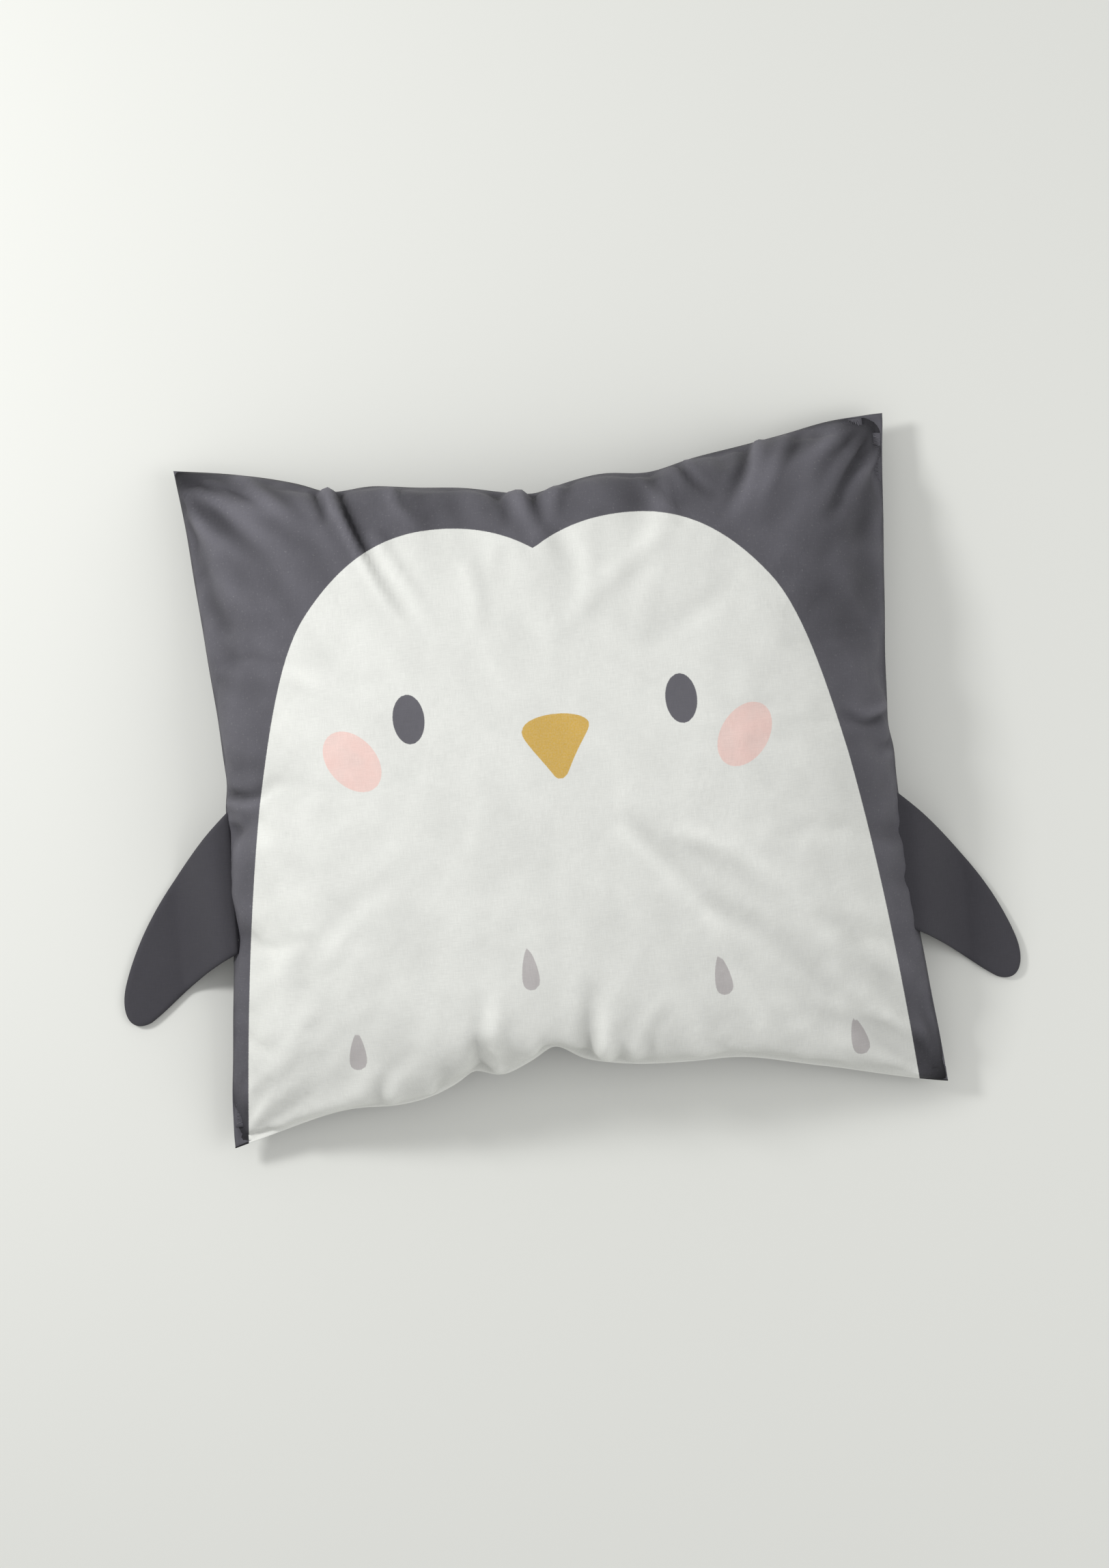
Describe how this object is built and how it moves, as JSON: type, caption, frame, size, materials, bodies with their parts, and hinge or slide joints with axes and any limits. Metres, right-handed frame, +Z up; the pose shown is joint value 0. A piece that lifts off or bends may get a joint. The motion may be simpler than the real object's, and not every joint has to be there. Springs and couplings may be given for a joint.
{
  "type": "penguin scatter cushion",
  "caption": "Square filled cushion in a printed cotton case that shows a penguin's face and front, with two flat padded flippers hinged on its side seams.",
  "frame": {"origin": "middle of the flat patch of the back panel that the cushion rests on, under the middle of the pillow", "axes": "+X across the cushion to the printed penguin's left hand side seen from above (the viewer's right), +Y towards the penguin's head, +Z up out of the printed side"},
  "size_m": [0.7864, 0.5894, 0.1449],
  "materials": {
    "charcoal_cotton": "woven cotton, matt",
    "off_white_cotton": "woven cotton, matt",
    "charcoal_print": "pigment print on woven cotton, matt",
    "eye_print": "pigment print on woven cotton, matt",
    "cheek_print": "pigment print on woven cotton, matt",
    "beak_print": "pigment print on woven cotton, matt",
    "mark_print": "pigment print on woven cotton, matt",
    "ticking": "downproof cotton ticking, matt",
    "polyester_fibre": "loose hollow fibre, matt",
    "flipper_cotton": "woven cotton, matt",
    "sewing_thread": "spun polyester thread",
    "label_tape": "woven tape, blank"
  },
  "bodies": {
    "cushion": {"care_label": "label_tape", "case_back_panel": "charcoal_cotton", "case_front_panel": "off_white_cotton", "insert_back_ticking": "ticking", "insert_fill": "polyester_fibre", "insert_front_ticking": "ticking", "insert_seam_bottom": "ticking", "insert_seam_left": "ticking", "insert_seam_right": "ticking", "insert_seam_top": "ticking", "mouth_hem": "charcoal_cotton", "print_beak": "beak_print", "print_cheek_left": "cheek_print", "print_cheek_right": "cheek_print", "print_eye_left": "eye_print", "print_eye_right": "eye_print", "print_mark_1": "mark_print", "print_mark_2": "mark_print", "print_mark_3": "mark_print", "print_mark_4": "mark_print", "print_surround": "charcoal_print", "seam_allowance_left": "charcoal_cotton", "seam_allowance_right": "charcoal_cotton", "seam_allowance_top": "charcoal_cotton", "seam_thread_left": "sewing_thread", "seam_thread_right": "sewing_thread", "seam_thread_top": "sewing_thread", "tuck_in_flap": "off_white_cotton"},
    "flipper_left": {"flipper_left_back_cloth": "flipper_cotton", "flipper_left_edge_seam": "flipper_cotton", "flipper_left_front_cloth": "flipper_cotton", "flipper_left_wadding": "polyester_fibre"},
    "flipper_right": {"flipper_right_back_cloth": "flipper_cotton", "flipper_right_edge_seam": "flipper_cotton", "flipper_right_front_cloth": "flipper_cotton", "flipper_right_wadding": "polyester_fibre"}
  },
  "joints": [
    {"name": "flipper_left_fold", "type": "hinge", "parent": "cushion", "child": "flipper_left", "pos_m": [-0.2985, -0.065, 0.04], "axis": [0, 1, 0], "range_deg": [0, 115]},
    {"name": "flipper_right_fold", "type": "hinge", "parent": "cushion", "child": "flipper_right", "pos_m": [0.2985, -0.09, 0.04], "axis": [0, -1, 0], "range_deg": [0, 115]}
  ]
}
